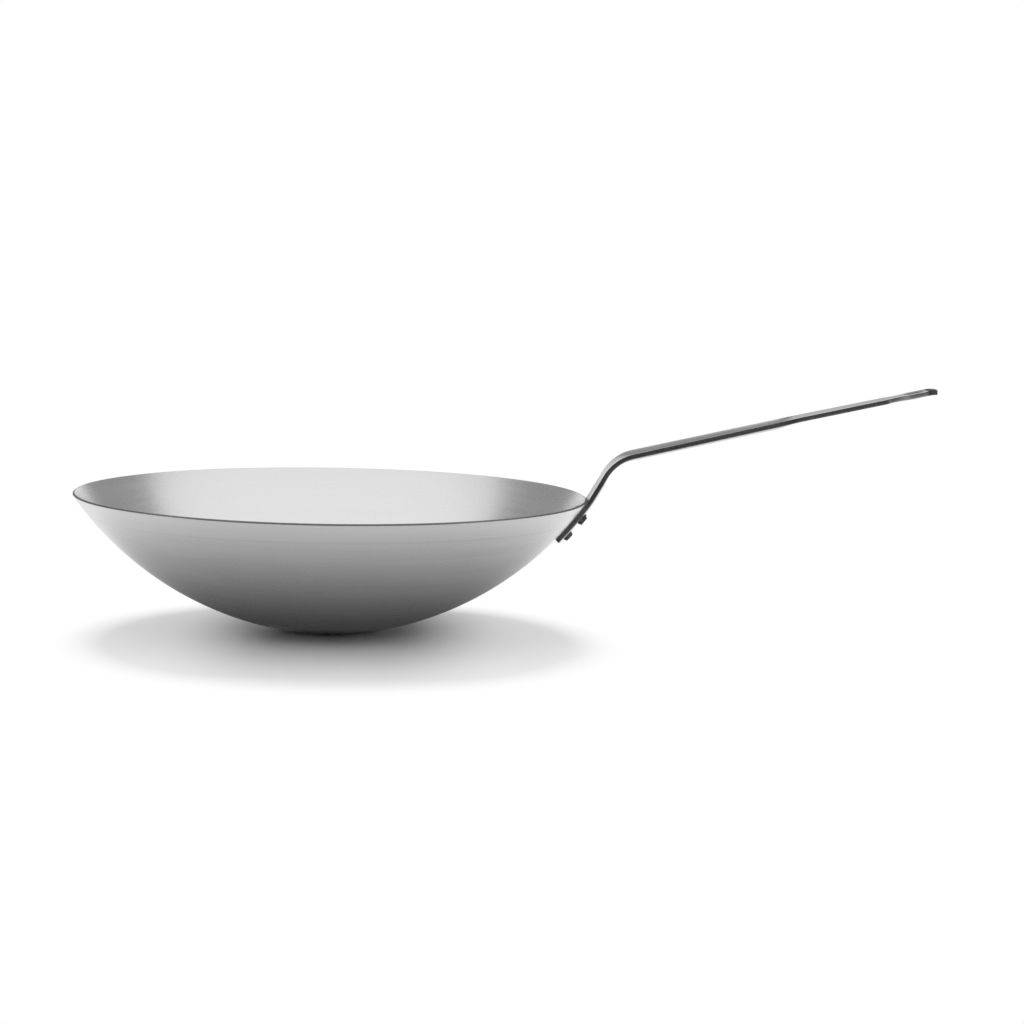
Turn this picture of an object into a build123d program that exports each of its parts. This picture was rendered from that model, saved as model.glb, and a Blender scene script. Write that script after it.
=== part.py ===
from build123d import *
from math import asin, atan2, cos, degrees, hypot, radians, sin, sqrt
import os

# A carbon steel wok: a pressed bowl with a small flat base, and a long strip handle held by three rivets.
# The origin is the middle of the flat base, +Z is up and the handle points along +X.
# Lengths are in millimetres and angles in degrees.

# Bowl
rim_radius = 175.0
rim_height = 91.2
base_radius = 34.0
wall_radius = 221.7  # the arc of the outer wall, seen from the side
sheet = 1.8
knuckle_radius = 12.0  # inside the bend between the flat base and the wall
rim_edge_bevel = 0.3

# Strip that the handle is pressed from
strip_thickness = 3.2
strip_under_round = 0.8
strip_top_round = 0.3

# Foot of the handle, lying along the outside of the wall
foot_length = 33.7
foot_width = 32.5
foot_camber = 1.85
foot_corner_radius = 3.0
seat_gap = 0.1

# Rise of the handle, from the rim to the main bend
rim_bend_radius = 40.0
steep_angle = 60.0
steep_length = 10.1
flattening_length = 8.0
main_bend_radius = 32.0
bend_width = 33.0
bend_camber = 0.7
bend_hollow_angle = 22.0  # the last part of the bend, where the strip turns hollow again

# Gutter, where the strip is deepest, and its run-out to flat
upper_angle = 13.5
gutter_length = 99.0
gutter_camber = 2.35
gutter_end_width = 26.5
run_out_length = 16.4
run_out_width = 22.6
end_angle = 12.8

# Flat run, and the end with its waist, dish, hanging hole and turned-down lip
flat_length = 52.0
end_width = 20.5
end_length = 36.5  # from the flat run to the start of the lip
waist_position = 14.9  # from the flat run to the narrowest place
waist_width = 14.8
waist_radius = 12.0
waist_fillet = 6.0
lip_bend_radius = 20.0
lip_angle = 20.0
lip_corner_radius = 9.0
hanging_hole_radius = 5.0
hanging_hole_setback = 8.4  # from the start of the lip back to the middle of the hole
dish_radius = 8.0
dish_depth = 1.0

# Rivets
rivet_shank_radius = 2.5
rivet_hole_clearance = 0.1
rivet_pair_spacing = 16.0
rivet_upper_drop = 11.8  # measured down the wall from the rim
rivet_lower_drop = 26.9
outer_head_base_radius = 4.0
outer_head_top_radius = 3.0
outer_head_height = 2.7
outer_head_bevel = 0.4
inner_head_radius = 5.0
inner_head_height = 1.8

# The wall's arc runs from the edge of the base to the rim, so its centre lies on the chord's midline.
half_chord = hypot(rim_radius - base_radius, rim_height) / 2
chord_angle = atan2(rim_height, rim_radius - base_radius)
chord_to_centre = sqrt(wall_radius**2 - half_chord**2)
wall_centre_x = (rim_radius + base_radius) / 2 - chord_to_centre * sin(chord_angle)
wall_centre_z = rim_height / 2 + chord_to_centre * cos(chord_angle)
rim_slope = degrees(asin((rim_radius - wall_centre_x) / wall_radius))

# Inside the bowl the wall's arc meets the floor at this radius.
floor_radius = wall_centre_x + sqrt((wall_radius - sheet) ** 2 - (wall_centre_z - sheet) ** 2)

# The pressed bowl before its rivet holes are drilled
with BuildPart() as bowl:
    with BuildSketch(Plane.XZ) as bowl_profile:
        with BuildLine():
            Line((0, 0), (base_radius, 0))
            outer_wall = RadiusArc((base_radius, 0), (rim_radius, rim_height), -wall_radius)
            rim_cut = PolarLine(outer_wall @ 1, sheet, rim_slope + 90)
            RadiusArc(rim_cut @ 1, (floor_radius, sheet), wall_radius - sheet)
            Line((floor_radius, sheet), (0, sheet))
            Line((0, sheet), (0, 0))
        make_face()
        profile_corners = bowl_profile.vertices()
        fillet(profile_corners.sort_by_distance((base_radius, 0))[0], knuckle_radius + sheet)
        fillet(profile_corners.sort_by_distance((floor_radius, sheet))[0], knuckle_radius)
        chamfer(bowl_profile.vertices().sort_by(Axis.Y)[-2:], rim_edge_bevel)
    revolve(axis=Axis.Z)

# The round wall falls away beside the middle of the foot, and the foot's two edges lie on it.
edge_drop = (rim_radius - sqrt(rim_radius**2 - (foot_width / 2) ** 2)) * sin(radians(rim_slope))
lip_line_radius = wall_radius - edge_drop + seat_gap
foot_angle = degrees(foot_length / wall_radius)

# The lip line is the run of the strip's two top corners, seen from the side.
with BuildLine(Plane.XZ) as lip_line:
    foot_run = CenterArc(
        (wall_centre_x, wall_centre_z), lip_line_radius, rim_slope - foot_angle - 90, foot_angle
    )
    rim_bend = JernArc(foot_run @ 1, foot_run % 1, rim_bend_radius, steep_angle - rim_slope)
    steep_run = PolarLine(rim_bend @ 1, steep_length, steep_angle)
    flattening_run = PolarLine(steep_run @ 1, flattening_length, steep_angle)
    flat_bend = JernArc(
        flattening_run @ 1,
        flattening_run % 1,
        main_bend_radius,
        upper_angle + bend_hollow_angle - steep_angle,
    )
    hollow_bend = JernArc(flat_bend @ 1, flat_bend % 1, main_bend_radius, -bend_hollow_angle)
    gutter_run = PolarLine(hollow_bend @ 1, gutter_length, upper_angle)
    run_out = JernArc(
        gutter_run @ 1,
        gutter_run % 1,
        run_out_length / radians(upper_angle - end_angle),
        end_angle - upper_angle,
    )
    flat_run = PolarLine(run_out @ 1, flat_length, end_angle)
    end_run = PolarLine(flat_run @ 1, end_length, end_angle)

# Sections are drawn at these shares of each run.
section_shares = (0, 0.25, 0.5, 0.75, 1)


def section_plane(run, share):
    """The plane across the strip at a share of a run, with its Y axis towards the hollow side."""
    return Plane(origin=run @ share, x_dir=(0, 1, 0), z_dir=run % share)


def plan_plane(run, share):
    """The plane that touches a run from its hollow side, with its X axis along the run."""
    across = section_plane(run, share)
    return Plane(origin=across.origin, x_dir=across.z_dir, z_dir=across.y_dir)


def hollow_radius(width, camber):
    """The radius of the strip's hollow top, seen in section."""
    return (width**2 / 4 + camber**2) / (2 * camber)


def strip_section(plane, width, camber):
    """The strip's cross section: a hollow top, a concentric underside, radial edges and eased corners."""
    with BuildSketch(plane) as section:
        if camber == 0:
            Rectangle(width, strip_thickness, align=(Align.CENTER, Align.MAX))
        else:
            spread = 1 + strip_thickness / hollow_radius(width, camber)
            under_x = spread * width / 2
            under_y = (1 - spread) * (hollow_radius(width, camber) - camber)
            under_middle = -camber - strip_thickness
            with BuildLine():
                top = ThreePointArc((-width / 2, 0), (0, -camber), (width / 2, 0))
                under = ThreePointArc((under_x, under_y), (0, under_middle), (-under_x, under_y))
                Line(top @ 1, under @ 0)
                Line(under @ 1, top @ 0)
            make_face()
        corners = section.vertices().sort_by(Axis.Y)
        fillet(corners[:2], strip_under_round)
        fillet(corners[-2:], strip_top_round)
    return section.sketch


def stretch(run, widths, cambers):
    """One stretch of the strip, lofted through sections that stand square to its lip line."""
    sections = []
    for share in section_shares:
        eased_share = share**2 * (3 - 2 * share)
        width = widths[0] + (widths[1] - widths[0]) * share
        camber = cambers[0] + (cambers[1] - cambers[0]) * eased_share
        sections.append(strip_section(section_plane(run, share), width, camber))
    loft(sections)


# The foot, with the two corners of its lower end rounded
with BuildPart() as foot:
    stretch(foot_run, (foot_width, foot_width), (foot_camber, foot_camber))
    with BuildSketch(plan_plane(foot_run, 1 / 2)) as foot_plan:
        foot_reach = lip_line_radius * sin(radians(foot_angle / 2))
        foot_spread = 1 + strip_thickness / hollow_radius(foot_width, foot_camber)
        with Locations((-foot_reach, 0)):
            Rectangle(2 * foot_length, foot_width * foot_spread, align=(Align.MIN, Align.CENTER))
        fillet(foot_plan.vertices().sort_by(Axis.X)[:2], foot_corner_radius)
    extrude(amount=foot_width, both=True, mode=Mode.INTERSECT)

# The end of the handle
end_plane = plan_plane(flat_run, 1)
lip_start = section_plane(end_run, 1)
hole_plane = Plane(end_run @ 1 - (end_run % 1) * hanging_hole_setback, end_plane.x_dir, end_plane.z_dir)
dish_ball_radius = (dish_radius**2 + dish_depth**2) / (2 * dish_depth)
dish_ball_height = dish_ball_radius - dish_depth
with BuildPart() as handle_end:
    extrude(strip_section(section_plane(flat_run, 1), end_width, 0), amount=end_length)
    lip_axis = Axis(lip_start.origin - lip_start.y_dir * lip_bend_radius, (0, 1, 0))
    revolve(strip_section(lip_start, end_width, 0), axis=lip_axis, revolution_arc=lip_angle)
    with BuildSketch(end_plane) as end_plan:
        lip_reach = lip_bend_radius * sin(radians(lip_angle))
        Rectangle(end_length + lip_reach, end_width, align=(Align.MIN, Align.CENTER))
        fillet(end_plan.vertices().sort_by(Axis.X)[-2:], lip_corner_radius)
        waist_centre = waist_width / 2 + waist_radius
        with Locations((waist_position, waist_centre), (waist_position, -waist_centre)):
            Circle(waist_radius, mode=Mode.SUBTRACT)
        lobe_corners = end_plan.vertices().filter_by_position(Axis.X, waist_position, end_length - lip_reach)
        fillet(lobe_corners, waist_fillet)
    extrude(amount=end_width, both=True, mode=Mode.INTERSECT)
    with Locations(hole_plane.offset(dish_ball_height)):
        underside_latitude = -degrees(
            asin((dish_ball_height + strip_thickness / 2) / (dish_ball_radius + strip_thickness))
        )
        under_ball_radius = dish_ball_radius + strip_thickness
        Sphere(under_ball_radius, arc_size1=-90, arc_size2=underside_latitude, align=None)
        Sphere(dish_ball_radius, mode=Mode.SUBTRACT)
    with Locations(hole_plane):
        Cylinder(hanging_hole_radius, end_width, mode=Mode.SUBTRACT)

# The whole strip before its rivet holes are drilled
with BuildPart() as strip:
    add(foot.part)
    stretch(rim_bend, (foot_width, foot_width), (foot_camber, foot_camber))
    stretch(steep_run, (foot_width, bend_width), (foot_camber, foot_camber))
    stretch(flattening_run, (bend_width, bend_width), (foot_camber, bend_camber))
    stretch(flat_bend, (bend_width, bend_width), (bend_camber, bend_camber))
    stretch(hollow_bend, (bend_width, bend_width), (bend_camber, gutter_camber))
    stretch(gutter_run, (bend_width, gutter_end_width), (gutter_camber, gutter_camber))
    stretch(run_out, (gutter_end_width, run_out_width), (gutter_camber, 0))
    stretch(flat_run, (run_out_width, end_width), (0, 0))
    add(handle_end.part)


def wall_seat(drop, across):
    """The plane on the outside of the wall, a drop below the rim along it and across from the middle."""
    slope = radians(rim_slope) - drop / wall_radius
    distance = wall_centre_x + wall_radius * sin(slope)
    turn = asin(across / distance)
    outward = Vector(sin(slope) * cos(turn), sin(slope) * sin(turn), -cos(slope))
    height = wall_centre_z - wall_radius * cos(slope)
    return Plane((distance * cos(turn), distance * sin(turn), height), (-sin(turn), cos(turn), 0), outward)


rivet_seats = {
    "rivet_upper_near": wall_seat(rivet_upper_drop, -rivet_pair_spacing / 2),
    "rivet_upper_far": wall_seat(rivet_upper_drop, rivet_pair_spacing / 2),
    "rivet_lower": wall_seat(rivet_lower_drop, 0),
}

# The drilled bowl and handle
with BuildPart() as wok_body:
    add(bowl.part)
    with Locations(*rivet_seats.values()):
        Cylinder(rivet_shank_radius + rivet_hole_clearance, 4 * sheet, mode=Mode.SUBTRACT)
wok_body.part.label = "wok_body"

with BuildPart() as handle:
    add(strip.part)
    with Locations(*rivet_seats.values()):
        Cylinder(rivet_shank_radius + rivet_hole_clearance, 4 * strip_thickness, mode=Mode.SUBTRACT)
handle.part.label = "handle"

os.makedirs("parts", exist_ok=True)
export_step(wok_body.part, "parts/wok_body.step")
export_step(handle.part, "parts/handle.step")

# Rivets: a cone-shaped head that lies square on the strip outside, a shank through the wall,
# and a low domed head inside the bowl, which clears the hollow wall by the seat gap.
dome_ball_radius = (inner_head_radius**2 + inner_head_height**2) / (2 * inner_head_height)
dome_ball_height = dome_ball_radius - inner_head_height
dome_latitude = -degrees(asin(dome_ball_height / dome_ball_radius))
on_seat = (Align.CENTER, Align.CENTER, Align.MIN)
for name, seat in rivet_seats.items():
    strip_face, strip_outward = strip.part.find_intersection_points(Axis(seat.origin, seat.z_dir))[-1]
    head_seat = Plane(strip_face, z_dir=strip_outward)
    grip = (strip_face - seat.origin).length
    with BuildPart() as rivet:
        with Locations(head_seat):
            Cone(outer_head_base_radius, outer_head_top_radius, outer_head_height, align=on_seat)
        chamfer(rivet.edges().sort_by(Axis(head_seat.origin, head_seat.z_dir))[-1], outer_head_bevel)
        with Locations(seat.offset(dome_ball_height - sheet - seat_gap)):
            Sphere(dome_ball_radius, arc_size1=-90, arc_size2=dome_latitude, align=None)
        with Locations(seat.offset(-sheet - inner_head_height / 2)):
            shank_length = inner_head_height / 2 + sheet + grip + outer_head_height / 2
            Cylinder(rivet_shank_radius, shank_length, align=on_seat)
    rivet.part.label = name
    export_step(rivet.part, f"parts/{name}.step")
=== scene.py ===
import logging
import math
from dataclasses import dataclass, field
from enum import Enum

import bmesh
import bpy
import numpy as np
from mathutils import Euler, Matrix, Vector


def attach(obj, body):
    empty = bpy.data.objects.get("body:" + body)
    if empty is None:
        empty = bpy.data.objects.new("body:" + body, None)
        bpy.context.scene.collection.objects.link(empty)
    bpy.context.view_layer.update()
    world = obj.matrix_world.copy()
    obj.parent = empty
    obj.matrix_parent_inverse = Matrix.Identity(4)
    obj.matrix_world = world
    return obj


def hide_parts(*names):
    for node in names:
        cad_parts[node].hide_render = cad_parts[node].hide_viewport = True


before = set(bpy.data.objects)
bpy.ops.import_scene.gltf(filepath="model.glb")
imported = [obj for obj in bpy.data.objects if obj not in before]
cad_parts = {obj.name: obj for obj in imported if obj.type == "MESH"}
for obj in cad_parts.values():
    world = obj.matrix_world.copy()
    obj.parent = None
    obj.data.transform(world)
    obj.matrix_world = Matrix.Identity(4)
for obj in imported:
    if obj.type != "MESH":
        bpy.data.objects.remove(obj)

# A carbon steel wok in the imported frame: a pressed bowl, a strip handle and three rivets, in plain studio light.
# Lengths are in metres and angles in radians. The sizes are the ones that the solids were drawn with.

logging.basicConfig(level=logging.INFO, format="%(message)s")
log = logging.getLogger("wok")

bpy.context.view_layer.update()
MM = 0.001
MERGE_DISTANCE = 1e-6
Array = np.ndarray
Arrays = dict[str, Array]
Pair = tuple[float, float]
Triple = tuple[float, float, float]
Socket = bpy.types.NodeSocket
Material = bpy.types.Material
Piece = bpy.types.Object


class Mark(Enum):
    """The names of the point attributes that the finishes read."""

    CUT_EDGE = "cut_edge"
    OUTSIDE = "outside"
    # Painted highlight along the strip's lip.
    WORN = "worn_lip"
    TIP = "dark_tip"


class Slot(Enum):
    """The material slots of the record."""

    BOWL = "bowl_steel"
    HANDLE = "handle_steel"
    RIVET = "rivet_steel"


def grid_faces(rows: int, columns: int, first: int = 0) -> Array:
    """The quads between neighbouring rows and columns of a grid of points that is stored row by row.

    Args:
        rows: how many rows of points the grid has.
        columns: how many points are in a row.
        first: the index of the grid's first point.

    Returns:
        An array of four point indices a quad.
    """
    index = first + np.arange(rows * columns).reshape(rows, columns)
    corners = [index[:-1, :-1], index[:-1, 1:], index[1:, 1:], index[1:, :-1]]
    return np.stack(corners, -1).reshape(-1, 4)


def new_object(name: str, data: bpy.types.ID) -> Piece:
    """A new object at the origin, linked into the scene.

    Args:
        name: the object's name.
        data: its mesh, lamp or camera.

    Returns:
        The object.
    """
    piece = bpy.data.objects.new(name, data)
    bpy.context.scene.collection.objects.link(piece)
    return piece


@dataclass
class Surface:
    """Points with their UVs and marks, and the faces between them."""

    points: Array
    uv: Array
    marks: dict[Mark, Array]
    faces: list[list[int]]

    def joined(self, other: "Surface") -> "Surface":
        """This surface and another as one.

        Args:
            other: the surface that is added, with the same marks.

        Returns:
            The two surfaces in one set of arrays.
        """
        shift = len(self.points)
        moved = [[index + shift for index in face] for face in other.faces]
        marks = {mark: np.concatenate([values, other.marks[mark]]) for mark, values in self.marks.items()}
        points = np.concatenate([self.points, other.points])
        return Surface(points, np.concatenate([self.uv, other.uv]), marks, self.faces + moved)

    def piece(self, name: str, sharp_angle: float = math.radians(35)) -> Piece:
        """A closed piece of this surface, with its doubled points merged and its faces outwards.

        Args:
            name: the piece's name.
            sharp_angle: faces that meet at more than this angle get a sharp edge.

        Returns:
            The new object, which sits at the origin.
        """
        mesh = bpy.data.meshes.new(name)
        mesh.from_pydata(self.points.tolist(), [], self.faces)
        corner_points = np.empty(len(mesh.loops), np.int32)
        mesh.loops.foreach_get("vertex_index", corner_points)
        layer = mesh.uv_layers.new(name="UVMap")
        layer.data.foreach_set("uv", self.uv[corner_points].astype(np.float32).ravel())
        for mark, values in self.marks.items():
            attribute = mesh.attributes.new(mark.value, "FLOAT", "POINT")
            attribute.data.foreach_set("value", values.astype(np.float32))
        body = bmesh.new()
        body.from_mesh(mesh)
        bmesh.ops.remove_doubles(body, verts=body.verts, dist=MERGE_DISTANCE)
        bmesh.ops.recalc_face_normals(body, faces=body.faces)
        body.to_mesh(mesh)
        body.free()
        mesh.polygons.foreach_set("use_smooth", np.ones(len(mesh.polygons), bool))
        mesh.set_sharp_from_angle(angle=sharp_angle)
        return new_object(name, mesh)


def turned(profile: Array, origin: Array, axis: Array, turns: int, marks: dict[Mark, Array]) -> Surface:
    """A profile turned round an axis: each point keeps its height along the axis and goes round at its radius.

    Args:
        profile: an array of radius and height, one row a point.
        origin: where the height is zero.
        axis: the axis's direction, of length one.
        turns: how many places round the axis, the first and last being the same.
        marks: each mark's value at each point of the profile.

    Returns:
        The surface, with its UVs round the axis and along the profile.
    """
    helper = np.array([0.0, 1.0, 0.0]) if abs(axis[1]) < 0.9 else np.array([1.0, 0.0, 0.0])
    side = np.cross(helper, axis)
    side /= np.linalg.norm(side)
    ahead = np.cross(axis, side)
    turn = np.linspace(0, 2 * math.pi, turns)
    spoke = np.cos(turn)[:, None] * side + np.sin(turn)[:, None] * ahead
    points = origin + profile[:, :1, None] * spoke[None] + profile[:, 1:, None] * axis
    around, along = np.tile(np.linspace(0, 1, turns), len(profile)), np.repeat(path_length(profile), turns)
    spread = {mark: np.repeat(values, turns) for mark, values in marks.items()}
    faces = grid_faces(len(profile), turns).tolist()
    return Surface(points.reshape(-1, 3), np.stack([around, along], -1), spread, faces)


def arc(centre: Array, radius: float, start: float, end: float, steps: int) -> Array:
    """Points round an arc at even angles, where an angle of zero points along the first coordinate.

    Args:
        centre: the arc's middle.
        radius: the arc's radius.
        start: the first angle.
        end: the last angle.
        steps: how many points.

    Returns:
        An array of two coordinates a point.
    """
    angle = np.linspace(start, end, steps)
    return np.asarray(centre) + radius * np.stack([np.cos(angle), np.sin(angle)], -1)


def path_length(points: Array, axis: int = 0) -> Array:
    """The distance walked along a chain of points, from zero at the first one.

    Args:
        points: the chain, with its coordinates last.
        axis: the direction of the array that the chain runs in.

    Returns:
        The distances, without the coordinates' direction.
    """
    steps = np.linalg.norm(np.diff(points, axis=axis), axis=-1)
    start = np.zeros_like(np.take(steps, [0], axis=axis))
    return np.concatenate([start, np.cumsum(steps, axis=axis)], axis=axis)


@dataclass
class Bench:
    """A material's node tree with short ways to add and link nodes."""

    tree: bpy.types.NodeTree

    def add(self, kind: str, settings: dict | None = None, **sockets: object) -> bpy.types.Node:
        """A new node with its settings and inputs set.

        Args:
            kind: the node's type name without ShaderNode.
            settings: the node's properties by name.
            sockets: inputs by name, with underscores for spaces, or by number after an underscore.

        Returns:
            The new node.
        """
        node = self.tree.nodes.new("ShaderNode" + kind)
        for name, value in (settings or {}).items():
            setattr(node, name, value)
        for name, value in sockets.items():
            socket = node.inputs[int(name[1:])] if name[0] == "_" else node.inputs[name.replace("_", " ")]
            if isinstance(value, Socket):
                self.tree.links.new(value, socket)
            else:
                socket.default_value = value
        return node

    def sum(self, operation: str, *values: object) -> Socket:
        """The result of a Math node on up to three values or sockets."""
        inputs = {f"_{place}": value for place, value in enumerate(values)}
        return self.add("Math", {"operation": operation}, **inputs).outputs[0]

    def vector(self, operation: str, first: object, second: object) -> Socket:
        """The result of a Vector Math node on two vectors."""
        return self.add("VectorMath", {"operation": operation}, _0=first, _1=second).outputs[0]

    def length(self, vector: Socket) -> Socket:
        """The length of a vector."""
        return self.add("VectorMath", {"operation": "LENGTH"}, _0=vector).outputs["Value"]

    def fade(self, value: Socket, low: float, high: float, start: object, end: object) -> Socket:
        """A value eased from start to end while another goes from low to high."""
        inputs = {"_1": low, "_2": high, "_3": start, "_4": end}
        return self.add("MapRange", {"interpolation_type": "SMOOTHSTEP"}, Value=value, **inputs).outputs[0]

    def blend(self, share: Socket, first: object, second: object) -> Socket:
        """The first value where the share is 0 and the second where it is 1, eased between them."""
        return self.fade(share, 0.0, 1.0, first, second)

    def vary(self, value: object, pattern: Socket, amount: float) -> Socket:
        """A value that a pattern moves up and down by up to half the amount."""
        return self.sum("MULTIPLY_ADD", self.sum("SUBTRACT", pattern, 0.5), amount, value)

    def noise(self, vector: Socket, scale: float, detail: float = 3.0, rough: float = 0.5) -> Socket:
        """The value of a noise pattern at a place."""
        return self.add("TexNoise", None, Vector=vector, Scale=scale, Detail=detail, Roughness=rough).outputs[0]

    def streaks(self, vector: Socket, scales: Triple, detail: float) -> Socket:
        """The value of a noise pattern that is finer in one direction than in another."""
        return self.noise(self.vector("MULTIPLY", vector, scales), 1.0, detail)

    def mark(self, mark: Mark) -> Socket:
        """The value of a point attribute."""
        return self.add("Attribute", {"attribute_name": mark.value}).outputs["Fac"]


def new_material(name: str) -> tuple[Material, Bench]:
    """A new material with an empty node tree.

    Args:
        name: the material's name.

    Returns:
        The material and its bench.
    """
    material = bpy.data.materials.new(name)
    material.use_nodes = True
    material.node_tree.nodes.clear()
    return material, Bench(material.node_tree)


@dataclass(frozen=True)
class SteelFinish:
    """Bare steel: how much it reflects, how rough it is, and how both change over it."""

    name: str
    reflectance: float
    roughness: float
    cut_reflectance: float
    cut_roughness: float
    mottle: float
    mottle_scale: float
    grain_bump: float
    bump_distance: float = 0.05 * MM
    mottle_rough: float = 0.10
    mottle_detail: float = 4.0

    def spots(self, bench: Bench) -> Socket:
        """The soft uneven spots of the steel, by the place on the piece."""
        place = bench.add("TexCoord").outputs["Object"]
        return bench.noise(place, self.mottle_scale, self.mottle_detail, 0.6)

    def close(self, bench: Bench, shade: Socket, rough: Socket, height: Socket, metal: object = 1.0) -> None:
        """Ends a material in a metal shader.

        Args:
            bench: the material's bench.
            shade: the grey that the steel reflects.
            rough: its roughness.
            height: its small relief.
            metal: how much of the surface is bare metal.
        """
        relief = bench.add("Bump", None, Strength=self.grain_bump, Distance=self.bump_distance, Height=height)
        grey = bench.add("CombineColor", None, _0=shade, _1=shade, _2=shade).outputs[0]
        inputs = {"Base_Color": grey, "Roughness": rough, "Metallic": metal}
        shader = bench.add("BsdfPrincipled", None, Normal=relief.outputs[0], **inputs)
        bench.add("OutputMaterial", None, Surface=shader.outputs[0])


@dataclass(frozen=True)
class SpunSteel(SteelFinish):
    """Satin sheet steel with fine rings from the wheel, a faint score line and a cut edge at its rim."""

    bump_distance: float = 0.04 * MM
    mottle_rough: float = 0.12
    fine_rings: Triple = (1400.0, 3.0, 3.0)
    broad_rings: Triple = (130.0, 1.0, 1.0)
    ring_detail: float = 2.0
    ring_shade: float = 0.05
    ring_rough: float = 0.10
    still_radius: float = 2.0 * MM
    score_height: float = 78.3 * MM
    score_half_width: float = 0.7 * MM
    score_shade: float = -0.05
    score_depth: float = -1.2

    def material(self) -> Material:
        """The spun steel. Its rings follow the distance from the axis plus the height, so they run round it.

        Returns:
            The new material.
        """
        material, bench = new_material(self.name)
        place = bench.add("TexCoord").outputs["Object"]
        x, y, z = bench.add("SeparateXYZ", None, Vector=place).outputs
        squares = bench.sum("ADD", bench.sum("MULTIPLY", x, x), bench.sum("MULTIPLY", y, y))
        distance = bench.sum("SQRT", squares)
        safe = bench.sum("MAXIMUM", distance, self.still_radius)
        along, east = bench.sum("ADD", distance, z), bench.sum("DIVIDE", x, safe)
        rings = bench.add("CombineXYZ", None, X=along, Y=east, Z=bench.sum("DIVIDE", y, safe)).outputs[0]
        lines = bench.streaks(rings, self.fine_rings, self.ring_detail)
        bands = bench.streaks(rings, self.broad_rings, self.ring_detail)
        mottle, cut = self.spots(bench), bench.mark(Mark.CUT_EDGE)
        off_score = bench.sum("ABSOLUTE", bench.sum("SUBTRACT", z, self.score_height))
        score = bench.fade(off_score, 0.0, self.score_half_width, 1.0, 0.0)
        score = bench.sum("MULTIPLY", score, bench.mark(Mark.OUTSIDE))
        shade = bench.vary(bench.vary(self.reflectance, mottle, self.mottle), bands, self.ring_shade)
        shade = bench.sum("MULTIPLY_ADD", score, self.score_shade, shade)
        rough = bench.vary(bench.vary(self.roughness, bands, self.ring_rough), mottle, self.mottle_rough)
        shade = bench.blend(cut, shade, self.cut_reflectance)
        rough = bench.blend(cut, rough, self.cut_roughness)
        self.close(bench, shade, rough, bench.sum("MULTIPLY_ADD", score, self.score_depth, lines))
        return material


@dataclass(frozen=True)
class StripSteel(SteelFinish):
    """Rolled strip with a lengthwise grain, darker sheared edges, a painted highlight in patches along the lips
    and a dark tip.
    """

    # Painted highlight: the reflectance that the lip's edge is raised to, in patches.
    glint_reflectance: float = 0.92
    tip_reflectance: float = 0.035
    tip_roughness: float = 0.6
    grain_streaks: Triple = (35.0, 1500.0, 0.0)
    shear_streaks: Triple = (1300.0, 260.0, 0.0)
    grain_shade: float = 0.08
    grain_rough: float = 0.14
    shear_shade: float = 0.18
    glint_spots: tuple[float, float, float, float] = (0.25, 0.5, 0.6, 1.0)

    def material(self) -> Material:
        """The strip steel. Its grain reads the piece's UVs, whose first coordinate runs along the strip.

        Returns:
            The new material.
        """
        material, bench = new_material(self.name)
        flat = bench.add("TexCoord").outputs["UV"]
        grain = bench.streaks(flat, self.grain_streaks, 3.0)
        shear = bench.streaks(flat, self.shear_streaks, 2.0)
        mottle, cut = self.spots(bench), bench.mark(Mark.CUT_EDGE)
        worn, tip = bench.mark(Mark.WORN), bench.mark(Mark.TIP)
        # Painted highlight: the lip's edge is made brighter in patches, in place of the light glinting off its
        # rounded corner.
        glint_patches = bench.sum("MULTIPLY", worn, bench.fade(mottle, *self.glint_spots))
        shade = bench.vary(bench.vary(self.reflectance, mottle, self.mottle), grain, self.grain_shade)
        shade = bench.blend(cut, shade, bench.vary(self.cut_reflectance, shear, self.shear_shade))
        shade = bench.blend(glint_patches, shade, self.glint_reflectance)
        shade = bench.blend(tip, shade, self.tip_reflectance)
        rough = bench.vary(bench.vary(self.roughness, grain, self.grain_rough), mottle, self.mottle_rough)
        rough = bench.blend(tip, bench.blend(cut, rough, self.cut_roughness), self.tip_roughness)
        self.close(bench, shade, rough, bench.blend(cut, grain, shear), bench.blend(tip, 1.0, 0.0))
        return material


@dataclass(frozen=True)
class HammeredSteel(SteelFinish):
    """Rivet steel with small flats from the hammer, dark on the outer heads and bright on the domes."""

    bump_distance: float = 0.15 * MM
    mottle_rough: float = 0.2
    mottle_detail: float = 3.0
    flats_a_metre: float = 620.0
    flat_softness: float = 0.6

    def material(self) -> Material:
        """The hammered steel. Its flats are the cells of a pattern on the piece's own place.

        Returns:
            The new material.
        """
        material, bench = new_material(self.name)
        place = bench.add("TexCoord").outputs["Object"]
        scales = {"Scale": self.flats_a_metre, "Smoothness": self.flat_softness}
        flats = bench.add("TexVoronoi", {"feature": "SMOOTH_F1"}, Vector=place, **scales).outputs[0]
        mottle, cut = self.spots(bench), bench.mark(Mark.CUT_EDGE)
        shade = bench.blend(cut, bench.vary(self.reflectance, mottle, self.mottle), self.cut_reflectance)
        rough = bench.blend(cut, bench.vary(self.roughness, mottle, self.mottle_rough), self.cut_roughness)
        self.close(bench, shade, rough, flats)
        return material


@dataclass
class Part:
    """A part of the wok, which is built, dressed in its steel and tied to the frame."""

    finish: SteelFinish

    def dress(self, piece: Piece, slot: Slot, node: str) -> None:
        """Gives a finished piece its steel and its place in the frame, and reports it.

        Args:
            piece: the finished piece.
            slot: the record's slot that its finish stands for; not used.
            node: the solid that it replaces.
        """
        piece.data.materials.append(self.finish.material())
        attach(piece, "root")
        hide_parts(node)
        log.info("%s: %d faces, replaces %s", piece.name, len(piece.data.polygons), node)


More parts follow.
